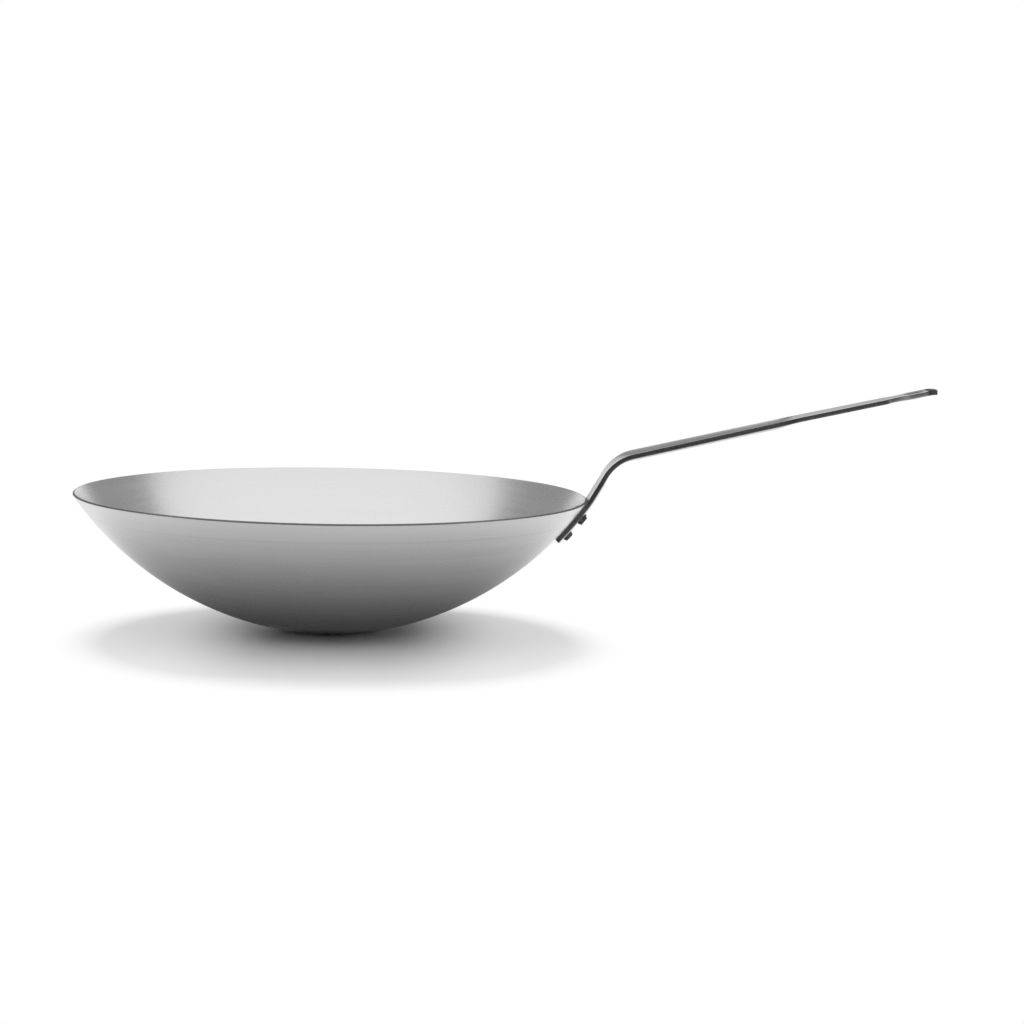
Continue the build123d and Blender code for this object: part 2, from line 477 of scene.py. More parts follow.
@dataclass
class Bowl(Part):
    """The pressed bowl: a flat base, a knuckle, a wall on one arc, and a square-cut rim."""

    rim_radius: float = 175.0 * MM
    rim_height: float = 91.2 * MM
    base_radius: float = 34.0 * MM
    wall_radius: float = 221.7 * MM
    sheet: float = 1.8 * MM
    knuckle_radius: float = 12.0 * MM
    rim_edge_bevel: float = 0.3 * MM
    turns: int = 361
    base_steps: int = 12
    knuckle_steps: int = 7
    wall_steps: int = 72
    rim_steps: int = 5

    def __post_init__(self) -> None:
        """Works out the wall's centre, on the midline of the chord from the base's edge to the rim."""
        run = self.rim_radius - self.base_radius
        half_chord = math.hypot(run, self.rim_height) / 2
        slope = math.atan2(self.rim_height, run)
        reach = math.sqrt(self.wall_radius**2 - half_chord**2)
        middle = np.array([(self.rim_radius + self.base_radius) / 2, self.rim_height / 2])
        self.wall_centre = middle + reach * np.array([-math.sin(slope), math.cos(slope)])
        self.rim_slope = math.asin((self.rim_radius - self.wall_centre[0]) / self.wall_radius)

    def profile(self) -> tuple[Array, Array, Array]:
        """The bowl's outline in section, from the base's middle out, over the rim and back to the middle inside.

        Returns:
            Radius and height of each point, its share of the cut edge, and its share of the outside.
        """
        outer_knuckle = self.knuckle_radius + self.sheet
        lift = self.wall_centre[1] - outer_knuckle
        reach = math.sqrt((self.wall_radius - outer_knuckle) ** 2 - lift**2)
        knuckle_centre = np.array([self.wall_centre[0] + reach, outer_knuckle])
        knuckle_slope = math.atan2(reach, lift)
        down = -math.pi / 2
        rim = down + self.rim_slope
        out = np.array([math.sin(self.rim_slope), -math.cos(self.rim_slope)])
        outer_corner = self.wall_centre + self.wall_radius * out
        inner_corner = outer_corner - self.sheet * out
        bevel = self.rim_edge_bevel
        short = bevel / self.wall_radius
        base, bend, wall = self.base_steps, self.knuckle_steps, self.wall_steps
        knuckle = down + knuckle_slope
        parts = [
            np.stack([np.linspace(0, knuckle_centre[0], base), np.zeros(base)], -1)[:-1],
            arc(knuckle_centre, outer_knuckle, down, knuckle, bend)[:-1],
            arc(self.wall_centre, self.wall_radius, knuckle, rim - short, wall),
            np.linspace(outer_corner - bevel * out, inner_corner + bevel * out, self.rim_steps),
            arc(self.wall_centre, self.wall_radius - self.sheet, rim - short, knuckle, wall),
            arc(knuckle_centre, self.knuckle_radius, knuckle, down, bend)[1:],
            np.stack([np.linspace(knuckle_centre[0], 0, base), np.full(base, self.sheet)], -1)[1:],
        ]
        rim_part = 3
        counts = [len(part) for part in parts]
        cut = np.repeat([float(place == rim_part) for place in range(len(parts))], counts)
        outside = np.repeat([float(place < rim_part) for place in range(len(parts))], counts)
        return np.concatenate(parts), cut, outside

    def build(self) -> Piece:
        """The bowl as one turned surface, closed at both poles.

        Returns:
            The new piece.
        """
        profile, cut, outside = self.profile()
        marks = {Mark.CUT_EDGE: cut, Mark.OUTSIDE: outside}
        return turned(profile, np.zeros(3), np.array([0.0, 0.0, 1.0]), self.turns, marks).piece("bowl")


@dataclass(frozen=True)
class Run:
    """A run of the lip line: its length, its upward turn, and the strip's width and camber at both ends."""

    length: float
    turn: float
    widths: Pair
    cambers: Pair
    steps: int


@dataclass
class Walk:
    """A walk along the lip line that collects the stations of one run after another."""

    start: Array
    angle: float
    walked: float = 0.0
    stations: list[Arrays] = field(default_factory=list)

    def go(self, run: Run, share: Array, **more: Array) -> None:
        """Adds one run's stations and moves the start on to the run's end.

        A point is the run's start plus the chord of the arc so far: the distance walked times the sine of half
        the turn over half the turn, in the direction of half the turn. The width changes evenly along a run,
        and the camber by three times the share squared less twice its cube.

        Args:
            run: the run.
            share: how much of the run lies behind each station.
            more: the stations' inset, plan place and lip turn, where they aren't 0, -1 and 0.
        """
        half_turn = run.turn * share / 2
        chord = run.length * share * np.sinc(half_turn / math.pi)
        eased = share**2 * (3 - 2 * share)
        zero = np.zeros_like(share)
        self.stations.append({
            "x": self.start[0] + chord * np.cos(self.angle + half_turn),
            "z": self.start[1] + chord * np.sin(self.angle + half_turn),
            "angle": self.angle + run.turn * share,
            "walked": self.walked + run.length * share,
            "width": run.widths[0] + (run.widths[1] - run.widths[0]) * share,
            "camber": run.cambers[0] + (run.cambers[1] - run.cambers[0]) * eased,
            **{"inset": zero, "plan": zero - 1, "lip": zero, **more},
        })
        whole, middle = run.length * np.sinc(run.turn / 2 / math.pi), self.angle + run.turn / 2
        self.start = self.start + whole * np.array([math.cos(middle), math.sin(middle)])
        self.angle += run.turn
        self.walked += run.length


@dataclass
class Handle(Part):
    """The strip handle: a cambered strip carried along its lip line, with its foot on the wall of the bowl."""

    bowl: Bowl
    thickness: float = 3.2 * MM
    under_round: float = 0.8 * MM
    top_round: float = 0.3 * MM
    end_round: float = 0.3 * MM
    foot_length: float = 33.7 * MM
    foot_width: float = 32.5 * MM
    foot_camber: float = 1.85 * MM
    foot_corner_radius: float = 3.0 * MM
    seat_gap: float = 0.1 * MM
    rim_bend_radius: float = 40.0 * MM
    steep_angle: float = math.radians(60.0)
    steep_length: float = 10.1 * MM
    flattening_length: float = 8.0 * MM
    main_bend_radius: float = 32.0 * MM
    bend_width: float = 33.0 * MM
    bend_camber: float = 0.7 * MM
    bend_hollow_angle: float = math.radians(22.0)
    upper_angle: float = math.radians(13.5)
    gutter_length: float = 99.0 * MM
    gutter_camber: float = 2.35 * MM
    gutter_end_width: float = 26.5 * MM
    run_out_length: float = 16.4 * MM
    run_out_width: float = 22.6 * MM
    end_angle: float = math.radians(12.8)
    flat_length: float = 52.0 * MM
    end_width: float = 20.5 * MM
    end_length: float = 36.5 * MM
    waist_position: float = 14.9 * MM
    waist_width: float = 14.8 * MM
    waist_radius: float = 12.0 * MM
    waist_fillet: float = 6.0 * MM
    lip_bend_radius: float = 20.0 * MM
    lip_angle: float = math.radians(20.0)
    lip_corner_radius: float = 9.0 * MM
    hole_radius: float = 5.0 * MM
    hole_setback: float = 8.4 * MM
    dish_radius: float = 8.0 * MM
    dish_depth: float = 1.0 * MM
    dark_tip_length: float = 8.2 * MM
    dark_tip_fade: float = 0.8 * MM
    # How far the cut mark falls where the edge is made paler, from a little before the waist on.
    paler_cut_share: float = 0.55
    paler_cut_lead: float = 6.3 * MM
    least_camber: float = 2e-6
    sharp_angle: float = math.radians(40)
    face_steps: int = 14
    round_steps: int = 5
    edge_steps: int = 3
    under_steps: int = 6
    corner_steps: int = 22
    hole_steps: int = 45
    hole_slack: float = 1.0001
    waist_steps: int = 34
    # Shares of the painted highlight on the top face next to the strip's edge.
    glint_shares: tuple[float, ...] = (0.4, 1.0, 1.0)

    def __post_init__(self) -> None:
        """Works out the lip line's start, the end's plan and the dish's ball."""
        rim = self.bowl.rim_radius
        slope = self.bowl.rim_slope
        edge_drop = (rim - math.sqrt(rim**2 - (self.foot_width / 2) ** 2)) * math.sin(slope)
        self.lip_line_radius = self.bowl.wall_radius - edge_drop + self.seat_gap
        self.foot_angle = self.foot_length / self.bowl.wall_radius
        self.lip_reach = self.lip_bend_radius * math.sin(self.lip_angle)
        self.hole_place = self.end_length - self.hole_setback
        self.dish_ball_radius = (self.dish_radius**2 + self.dish_depth**2) / (2 * self.dish_depth)
        self.waist_centre = self.waist_width / 2 + self.waist_radius
        drop = self.waist_centre - self.end_width / 2 + self.waist_fillet
        reach = math.sqrt((self.waist_radius + self.waist_fillet) ** 2 - drop**2)
        self.fillet_centre = self.waist_position + reach
        share = self.waist_radius / (self.waist_radius + self.waist_fillet)
        self.fillet_start = self.waist_position + reach * share
        self.corner_start = self.end_length + self.lip_reach - self.lip_corner_radius

    def hollow_radius(self, width: Array, camber: Array) -> Array:
        """The hollow top's radius: half the width squared plus the camber squared, over twice the camber."""
        return (width**2 / 4 + camber**2) / (2 * camber)

    def runs(self) -> list[Run]:
        """The lip line's runs from the foot to the end of the flat run.

        Returns:
            The runs in order.
        """
        foot, bend, gutter, ends = self.foot_width, self.bend_width, self.gutter_end_width, self.end_width
        rim_turn = self.steep_angle - self.bowl.rim_slope
        flat_turn = self.upper_angle + self.bend_hollow_angle - self.steep_angle
        run_out_turn = self.end_angle - self.upper_angle
        deep, shallow, hollow = self.foot_camber, self.bend_camber, self.gutter_camber
        foot_run = self.lip_line_radius * self.foot_angle
        hollow_turn = self.bend_hollow_angle
        bend_run, hollow_run = self.main_bend_radius * -flat_turn, self.main_bend_radius * hollow_turn
        return [
            Run(foot_run, self.foot_angle, (foot, foot), (deep, deep), 34),
            Run(self.rim_bend_radius * rim_turn, rim_turn, (foot, foot), (deep, deep), 5),
            Run(self.steep_length, 0.0, (foot, bend), (deep, deep), 10),
            Run(self.flattening_length, 0.0, (bend, bend), (deep, shallow), 12),
            Run(bend_run, flat_turn, (bend, bend), (shallow, shallow), 18),
            Run(hollow_run, -hollow_turn, (bend, bend), (shallow, hollow), 18),
            Run(self.gutter_length, 0.0, (bend, gutter), (hollow, hollow), 40),
            Run(self.run_out_length, run_out_turn, (gutter, self.run_out_width), (hollow, 0.0), 24),
            Run(self.flat_length, 0.0, (self.run_out_width, ends), (0.0, 0.0), 20),
        ]

    def stations(self) -> Arrays:
        """The places along the lip line where the section is drawn, closer together at rounded outlines.

        Returns:
            Arrays of place, direction, walked distance, width, camber, inset, plan place and lip turn.
        """
        angle = self.bowl.rim_slope - self.foot_angle
        out = np.array([math.sin(angle), -math.cos(angle)])
        walk = Walk(self.bowl.wall_centre + self.lip_line_radius * out, angle)
        quarter = np.linspace(math.pi / 2, 0, self.round_steps)
        for place, run in enumerate(self.runs()):
            share = np.linspace(0, 1, run.steps + 1)[:-1]
            inset = np.zeros_like(share)
            if place == 0:
                first = self.end_round * (1 - np.sin(quarter)) / run.length
                corner_turn = np.linspace(0.35, math.pi / 2, 9)
                corner = self.foot_corner_radius * (1 - np.cos(corner_turn)) / run.length
                share = share[share > corner[-1] * 1.1]
                share = np.concatenate([first, corner[corner > first[-1] * 1.5], share])
                inset = np.zeros_like(share)
                inset[:self.round_steps] = self.end_round * (1 - np.cos(quarter))
            walk.go(run, share, inset=inset)
        self.end_stations(walk, quarter[::-1])
        return {name: np.concatenate([part[name] for part in walk.stations]) for name in walk.stations[0]}

    def end_stations(self, walk: Walk, quarter: Array) -> None:
        """Adds the stations of the flat end, with its waist and hole, and of the lip, with its rounded corners.

        Args:
            walk: the walk along the lip line, which has come to the end's start.
            quarter: the turns of the tip's rounded edge.
        """
        drop = self.waist_centre - self.end_width / 2
        waist_start = self.waist_position - math.sqrt(self.waist_radius**2 - drop**2)
        hole_turn = np.linspace(0, math.pi, self.hole_steps)
        plan = np.concatenate([
            np.linspace(0, waist_start, 4)[:-1],
            np.linspace(waist_start, self.hole_place - self.hole_radius, self.waist_steps)[:-1],
            self.hole_place - self.hole_radius * np.cos(hole_turn),
            np.linspace(self.hole_place + self.hole_radius, self.corner_start, 8)[1:],
            np.linspace(self.corner_start, self.end_length, 4)[1:-1],
        ])
        widths, flat = (self.end_width, self.end_width), (0.0, 0.0)
        walk.go(Run(self.end_length, 0.0, widths, flat, 0), plan / self.end_length, plan=plan)
        first_turn = math.asin((self.end_length - self.corner_start) / self.lip_corner_radius)
        corner_turn = np.linspace(first_turn, math.pi / 2, self.corner_steps)
        reach = self.corner_start + self.lip_corner_radius * np.sin(corner_turn) - self.end_length
        lip = np.arcsin(np.clip(reach / self.lip_bend_radius, 0, math.sin(self.lip_angle)))
        length = self.lip_bend_radius * self.lip_angle
        tail = length - self.end_round * (1 - np.sin(quarter))
        before_tail = lip[lip * self.lip_bend_radius < tail[0] * 0.995]
        share = np.concatenate([before_tail / self.lip_angle, tail / length])
        inset = np.zeros_like(share)
        inset[-self.round_steps:] = self.end_round * (1 - np.cos(quarter))
        more = {"inset": inset, "plan": np.full_like(share, self.end_length), "lip": share * self.lip_angle}
        walk.go(Run(length, -self.lip_angle, widths, flat, 0), share, **more)

    def plan_half_width(self, plan: Array) -> Array:
        """Half the end's width in plan: a straight edge less the waist's circle, with rounded lobes and corners.

        Args:
            plan: the distance from the end's start.

        Returns:
            Half the width at each distance.
        """
        half = np.full_like(plan, self.end_width / 2)
        off = plan - self.waist_position
        scallop = self.waist_centre - np.sqrt(np.maximum(self.waist_radius**2 - off**2, 0))
        in_waist = (np.abs(off) < self.waist_radius) & (plan <= self.fillet_start)
        half = np.where(in_waist, np.minimum(half, scallop), half)
        bulge = np.sqrt(np.maximum(self.waist_fillet**2 - (plan - self.fillet_centre) ** 2, 0))
        lobe = self.end_width / 2 - self.waist_fillet + bulge
        half = np.where((plan > self.fillet_start) & (plan < self.fillet_centre), lobe, half)
        corner_off = np.clip(plan - self.corner_start, 0, self.lip_corner_radius)
        corner = self.end_width / 2 - self.lip_corner_radius
        corner = corner + np.sqrt(self.lip_corner_radius**2 - corner_off**2)
        return np.where(plan > self.corner_start, corner, half)

    def half_section(self) -> Arrays:
        """Half the strip's outline from the middle of its top over its edge to the middle of its underside.

        Returns:
            For each point its depth, the share of the half width it stands at, what is taken off that, and its
            shares of the cut edge and of the painted highlight along the lip.
        """
        face = np.sin(np.linspace(0, math.pi / 2, self.face_steps + 1))
        top_turn = np.linspace(0, math.pi / 2, self.round_steps)
        under_turn = np.linspace(0, math.pi / 2, self.under_steps)
        top, under, deep = self.top_round, self.under_round, self.thickness
        edge = np.linspace(top, deep - under, self.edge_steps + 2)[1:-1]
        flat, rise = np.zeros(self.face_steps), np.linspace(0, 1, self.round_steps)
        side = np.ones(self.edge_steps + self.under_steps)
        top_out, under_out = face[:-1], face[::-1][1:]
        top_off, under_off = top * (1 - np.sin(top_turn)), under * (1 - np.cos(under_turn))
        under_depth = deep - under * (1 - np.sin(under_turn))
        parts = {
            "depth": [flat, top * (1 - np.cos(top_turn)), edge, under_depth, flat + deep],
            "share": [top_out, np.ones(self.round_steps), side, under_out],
            "off": [top * top_out, top_off, np.zeros(self.edge_steps), under_off, under * under_out],
            "cut": [flat, rise, side, flat],
            # The painted highlight along the lip covers the top face by the edge and the top corner.
            "worn": [flat[len(self.glint_shares):], self.glint_shares, 1 - rise, 0 * side, flat],
        }
        return {name: np.concatenate(values) for name, values in parts.items()}

    def edge_turn(self, column: Arrays, depth: Array, radius: Array) -> Array:
        """How far round the hollow's centre the strip's edge stands.

        The turn's sine is half the width over the hollow's radius. In the end it is half the plan's width over
        the point's own radius, and at the foot it is held in by the rounded corner.

        Args:
            column: the stations' values, a row each.
            depth: each point's depth.
            radius: the hollow's radius at each station.

        Returns:
            The edge's turn for each point.
        """
        ring, in_end = radius + depth, column["plan"] >= 0
        reach = (self.lip_bend_radius - depth) * np.sin(column["lip"])
        plan = np.where(in_end, column["plan"], 0) + np.where(column["lip"] > 0, reach, 0)
        edge = np.arcsin(column["width"] / 2 / radius) * np.ones_like(depth)
        edge = np.where(in_end, np.arcsin(self.plan_half_width(plan) / ring), edge)
        round_off = self.foot_corner_radius
        from_end = np.clip(column["walked"], 0, round_off)
        corner = self.foot_width / 2 * (1 + self.thickness / radius) - round_off
        corner = corner + np.sqrt(round_off**2 - (round_off - from_end) ** 2)
        in_foot = (column["walked"] < round_off) & ~in_end
        return np.where(in_foot, np.minimum(edge, np.arcsin(np.minimum(corner / ring, 1))), edge)

    def side(self, stations: Arrays, sign: float) -> tuple[Array, Array]:
        """One half of the strip as a grid of points.

        A point stands on an arc round the hollow's centre: across, it is the arc's radius plus the depth, times
        the sine of its turn, and the same times the cosine goes down from the centre. The turn runs from the
        hanging hole's edge, or the middle, to the strip's edge. The dish lowers each depth by its ball's height.

        Args:
            stations: the places along the lip line.
            sign: 1 for the far half and -1 for the near half.

        Returns:
            The points, in rows of one station, and the distance walked round the section to each.
        """
        section = self.half_section()
        column = {name: values[:, None] for name, values in stations.items()}
        camber = np.maximum(column["camber"], self.least_camber)
        radius = self.hollow_radius(column["width"], camber)
        squeeze = (self.thickness - 2 * column["inset"]) / self.thickness
        depth = column["inset"] + section["depth"][None] * squeeze
        ring = radius + depth
        in_flat_end = (column["plan"] >= 0) & (column["lip"] == 0)
        off_hole = column["plan"] - self.hole_place
        chord = np.sqrt(np.maximum(self.hole_radius**2 - off_hole**2, 0))
        hole = np.where((np.abs(off_hole) <= self.hole_radius) & in_flat_end, chord, 0) / ring
        share = section["share"][None]
        off = section["off"][None] + column["inset"] * share
        turn = hole + share * (self.edge_turn(column, depth, radius) - hole) - off / ring
        across = ring * np.sin(turn)
        ball = self.dish_ball_radius + depth
        away = off_hole**2 + across**2
        dish = np.sqrt(np.maximum(ball**2 - away, 0)) - (ball - self.dish_depth)
        height = radius - camber - ring * np.cos(turn)
        height = height - np.where(in_flat_end, np.maximum(dish, 0), 0)
        points = np.stack([
            column["x"] - height * np.sin(column["angle"]),
            sign * across,
            column["z"] + height * np.cos(column["angle"]),
        ], -1)
        return points, path_length(points, axis=1)

    def marks(self, stations: Arrays) -> dict[Mark, Array]:
        """The cut edges, which are paler from near the waist on, the painted highlight along the lips, and the
        dark tip.

        Args:
            stations: the places along the lip line.

        Returns:
            Each mark's values over both halves of the strip.
        """
        section, count = self.half_section(), len(stations["x"])
        cut, worn = (np.tile(section[name], (count, 1)) for name in ("cut", "worn"))
        from_tip = stations["walked"][-1] - stations["walked"]
        tip = np.clip((self.dark_tip_length - from_tip) / self.dark_tip_fade, 0, 1)[:, None] + 0 * cut
        # From a little before the waist on, the cut edge's mark is lowered, so the edge there is paler.
        past_waist = stations["plan"] - self.waist_position + self.paler_cut_lead
        paler_cut = np.clip(past_waist / self.dark_tip_fade, 0, 1)
        cut = cut * (1 - (1 - self.paler_cut_share) * paler_cut[:, None])
        cut[[0, -1]] = 1.0
        values = {Mark.CUT_EDGE: cut, Mark.WORN: worn, Mark.TIP: tip}
        return {mark: np.tile(shares.ravel(), 2) for mark, shares in values.items()}

    def build(self) -> Piece:
        """The strip as two halves that meet in the middle, with capped ends and the hanging hole's wall.

        Returns:
            The new piece.
        """
        stations = self.stations()
        count, width = len(stations["x"]), len(self.half_section()["depth"])
        walked = np.repeat(stations["walked"][:, None], width, 1)
        points, uv = [], []
        for sign in (-1.0, 1.0):
            half, around = self.side(stations, sign)
            points.append(half.reshape(-1, 3))
            uv.append(np.stack([walked, sign * around], -1).reshape(-1, 2))
        near = np.arange(count * width).reshape(count, width)
        far = near + count * width
        faces = grid_faces(count, width).tolist() + grid_faces(count, width, count * width)[:, ::-1].tolist()
        in_flat_end = (stations["plan"] >= 0) & (stations["lip"] == 0)
        off_hole = np.abs(stations["plan"] - self.hole_place)
        rows = np.flatnonzero((off_hole <= self.hole_radius * self.hole_slack) & in_flat_end)[:-1]
        for half in (near, far):
            wall = np.stack([half[rows, 0], half[rows + 1, 0], half[rows + 1, -1], half[rows, -1]], -1)
            faces += wall.tolist()
        faces += [near[row].tolist() + far[row, ::-1].tolist() for row in (0, -1)]
        surface = Surface(np.concatenate(points), np.concatenate(uv), self.marks(stations), faces)
        return surface.piece("strip_handle", self.sharp_angle)


@dataclass
class Rivet(Part):
    """A rivet: a cone-shaped head on the strip, a shank through the wall and a low dome inside the bowl."""

    bowl: Bowl
    handle: Handle
    name: str
    drop: float
    across: float
    shank_radius: float = 2.5 * MM
    outer_base_radius: float = 4.0 * MM
    outer_top_radius: float = 3.0 * MM
    outer_height: float = 2.7 * MM
    outer_round: float = 0.4 * MM
    inner_radius: float = 5.0 * MM
    inner_height: float = 1.8 * MM
    head_sink: float = 0.1 * MM
    shank_overlap: float = 0.5 * MM
    dome_steps: int = 14
    seat_tries: int = 30
    turns: int = 49

    def seat(self) -> tuple[Array, Array]:
        """The place on the outside of the wall and the direction out of it, at the drop below the rim.

        Returns:
            The place and the direction.
        """
        slope = self.bowl.rim_slope - self.drop / self.bowl.wall_radius
        distance = self.bowl.wall_centre[0] + self.bowl.wall_radius * math.sin(slope)
        turn = math.asin(self.across / distance)
        out = np.array([math.sin(slope) * math.cos(turn), math.sin(slope) * math.sin(turn), -math.cos(slope)])
        height = self.bowl.wall_centre[1] - self.bowl.wall_radius * math.cos(slope)
        return np.array([distance * math.cos(turn), distance * math.sin(turn), height]), out

    def head_seat(self) -> tuple[Array, Array]:
        """The place where the rivet's line leaves the foot, and the direction out of the foot there.

        Seen from the side, the foot's outer face stands from the wall's centre at the lip line's radius less the
        face's height, which is the hollow's centre less the root of the outer radius squared less the place
        across squared. The line is followed by steps of what is missing until it meets the face.

        Returns:
            The place and the direction.
        """
        start, out = self.seat()
        width, camber = np.float64(self.handle.foot_width), np.float64(self.handle.foot_camber)
        hollow = float(self.handle.hollow_radius(width, camber))
        outer = hollow + self.handle.thickness
        centre = self.bowl.wall_centre
        distance = 0.0
        for _ in range(self.seat_tries):
            place = start + distance * out
            side = place[[0, 2]] - centre
            face = hollow - self.handle.foot_camber - math.sqrt(outer**2 - place[1] ** 2)
            distance += self.handle.lip_line_radius - face - np.linalg.norm(side)
        side /= np.linalg.norm(side)
        normal = np.array([side[0], place[1] / math.sqrt(outer**2 - place[1] ** 2), side[1]])
        return place, normal / np.linalg.norm(normal)

    def head(self) -> Array:
        """The outer head in section: a foot sunk a little into the strip, a flank, a rounded rim and a flat top.

        Returns:
            Radius and height of each point.
        """
        lean = math.atan2(self.outer_base_radius - self.outer_top_radius, self.outer_height)
        flank = np.array([math.cos(lean), math.sin(lean)])
        ease = self.outer_round
        corner_radius = self.outer_top_radius - ease * math.tan((math.pi / 2 - lean) / 2)
        crown = arc(np.array([corner_radius, self.outer_height - ease]), ease, lean, math.pi / 2, 6)
        shoulder = crown[0]
        foot = shoulder - flank[::-1] * np.array([-1, 1]) * (shoulder[1] / flank[0])
        return np.concatenate([
            np.array([[0, -self.head_sink], [self.outer_base_radius, -self.head_sink]]),
            foot + (shoulder - foot) * np.linspace(0, 1, 6)[:-1, None],
            crown,
            np.stack([np.linspace(corner_radius, 0, 6)[1:], np.full(5, self.outer_height)], -1),
        ])

    def dome(self) -> Array:
        """The inner head in section, as the cap of a ball.

        Returns:
            Radius and height of each point.
        """
        ball = (self.inner_radius**2 + self.inner_height**2) / (2 * self.inner_height)
        half, up = math.asin(self.inner_radius / ball), math.pi / 2
        cap = arc(np.array([0.0, self.inner_height - ball]), ball, up - half, up, self.dome_steps)
        return np.concatenate([[[0.0, 0.0]], cap])

    def build(self) -> Piece:
        """The rivet's head, shank and dome as one piece.

        Returns:
            The new piece.
        """
        seat, out = self.seat()
        face, face_out = self.head_seat()
        grip = float(np.linalg.norm(face - seat))
        low, high = -self.bowl.sheet - self.shank_overlap, grip + self.shank_overlap
        shank = np.array([[0, low], [self.shank_radius, low], [self.shank_radius, high], [0, high]])
        inside = seat - out * (self.bowl.sheet + self.handle.seat_gap)
        parts = ((self.head(), face, face_out, 1.0), (shank, seat, out, 0.0), (self.dome(), inside, -out, 0.0))
        head, shank, dome = (
            turned(profile, origin, axis, self.turns, {Mark.CUT_EDGE: np.full(len(profile), dark)})
            for profile, origin, axis, dark in parts
        )
        return head.joined(shank).joined(dome).piece(self.name)


@dataclass
class Studio:
    """The camera, the soft light overhead, the white floor, the grey cards that the steel mirrors, and a painted
    shadow under the wok for the steel to mirror.
    """

    image_pixels: float = 1024.0
    focal_pixels: float = 2925.0
    sensor_width: float = 36.0
    camera_height_angle: float = math.radians(6.58)
    camera_roll: float = math.radians(1.24)
    camera_aim: Triple = (0.1238, 0.0, 0.082)
    camera_distance: float = 2.0
    lamp_size: float = 2.2
    lamp_place: Triple = (0.1, 0.4, 1.5)
    lamp_level: float = 0.05
    world_level: float = 1.0
    floor_reflectance: float = 0.93
    shadow_middle: Triple = (0.010, -0.065, 0.0)
    shadow_reach: Pair = (0.195, 0.212)
    shadow_fade: Pair = (0.66, 0.98)
    # Painted light on the floor: how much white lightens the shadow left and right of its middle, and over what
    # distance.
    painted_side_light: float = 0.36
    painted_side_light_reach: Pair = (0.035, 0.115)
    floor_half_width: float = 8.0
    band_middle: Pair = (0.1, 0.08)
    band_reach: float = 3.0
    band_angles: Pair = (math.radians(12.0), math.radians(41.0))
    band_level: float = 0.33
    # The painted shadow that the steel mirrors: its grey runs from dark at the inner reach to white at the outer.
    sweep_reach: Pair = (0.05, 0.30)
    sweep_levels: Pair = (0.05, 1.0)
    sweep_end: float = 2.5
    sweep_height: float = 0.4 * MM
    card_place: float = -1.0
    card_ends: Pair = (-1.6, 2.0)
    card_height: float = 0.65
    card_level: float = 0.03
    ring_points: int = 97

    def camera(self) -> None:
        """The camera at the photograph's place, tipped down and rolled a little."""
        data = bpy.data.cameras.new("camera")
        data.sensor_width = self.sensor_width
        data.lens = self.sensor_width * self.focal_pixels / self.image_pixels
        camera = new_object("camera", data)
        tip = self.camera_height_angle
        back = Vector((0, math.cos(tip), -math.sin(tip)))
        camera.location = Vector(self.camera_aim) - self.camera_distance * back
        upright = Euler((math.pi / 2 - tip, 0, 0)).to_matrix()
        roll = Euler((0, 0, self.camera_roll)).to_matrix()
        camera.rotation_euler = (upright @ roll).to_euler()
        bpy.context.scene.camera = camera

    def lamp(self) -> None:
        """A large soft lamp overhead. Its power is its level times four times its area."""
        data = bpy.data.lights.new("overhead", "AREA")
        data.shape = "SQUARE"
        data.size = self.lamp_size
        data.energy = self.lamp_level * 4 * self.lamp_size**2
        new_object("overhead", data).location = self.lamp_place

    def world(self) -> None:
        """A plain white world, which lights the wok and stands behind it."""
        world = bpy.data.worlds.new("studio")
        world.use_nodes = True
        world.node_tree.nodes.clear()
        bench = Bench(world.node_tree)
        white = bench.add("Background", None, Color=(1, 1, 1, 1), Strength=self.world_level)
        bench.add("OutputWorld", None, Surface=white.outputs[0])
        bpy.context.scene.world = world

    def stage_piece(self, name: str, points: list, faces: list) -> Piece:
        """A piece of the stage.

        Args:
            name: its name.
            points: its points.
            faces: its faces, as indices of points.

        Returns:
            The new object.
        """
        mesh = bpy.data.meshes.new(name)
        mesh.from_pydata(points, [], faces)
        piece = new_object(name, mesh)
        return piece

    def floor(self) -> None:
        """A pale floor that keeps the wok's shadow and goes over to plain white at the shadow's edge.

        The shadow's edge is an oval about its own middle. Left and right of that middle, painted light lightens
        the
        shadow: white is partly mixed into the floor there. Only rays that look at the background see the white:
        straight, mirrored or passed on.
        """
        half = self.floor_half_width
        corners = [(-half, -half, 0), (half, -half, 0), (half, half, 0), (-half, half, 0)]
        floor = self.stage_piece("floor", corners, [[0, 1, 2, 3]])
        material, bench = new_material("floor")
        off = bench.vector("SUBTRACT", bench.add("TexCoord").outputs["Object"], self.shadow_middle)
        distance = bench.length(bench.vector("DIVIDE", off, (*self.shadow_reach, 1.0)))
        far = bench.fade(distance, *self.shadow_fade, 0.0, 1.0)
        aside = bench.sum("ABSOLUTE", bench.add("SeparateXYZ", None, Vector=off).outputs[0])
        # Painted light: white mixed into the floor left and right of the shadow's middle.
        lift = bench.fade(aside, *self.painted_side_light_reach, 0.0, self.painted_side_light)
        rays = bench.add("LightPath").outputs
        looks = bench.sum("MAXIMUM", rays["Is Camera Ray"], rays["Is Glossy Ray"])
        looks = bench.sum("MAXIMUM", looks, rays["Is Transmission Ray"])
        seen = bench.sum("MULTIPLY", bench.sum("MAXIMUM", far, lift), looks)
        shade = self.floor_reflectance
        matt = bench.add("BsdfDiffuse", None, Color=(shade, shade, shade, 1)).outputs[0]
        white = bench.add("Emission", None, Color=(1, 1, 1, 1), Strength=1.0).outputs[0]
        mixed = bench.add("MixShader", None, _0=seen, _1=matt, _2=white).outputs[0]
        bench.add("OutputMaterial", None, Surface=mixed)
        floor.data.materials.append(material)

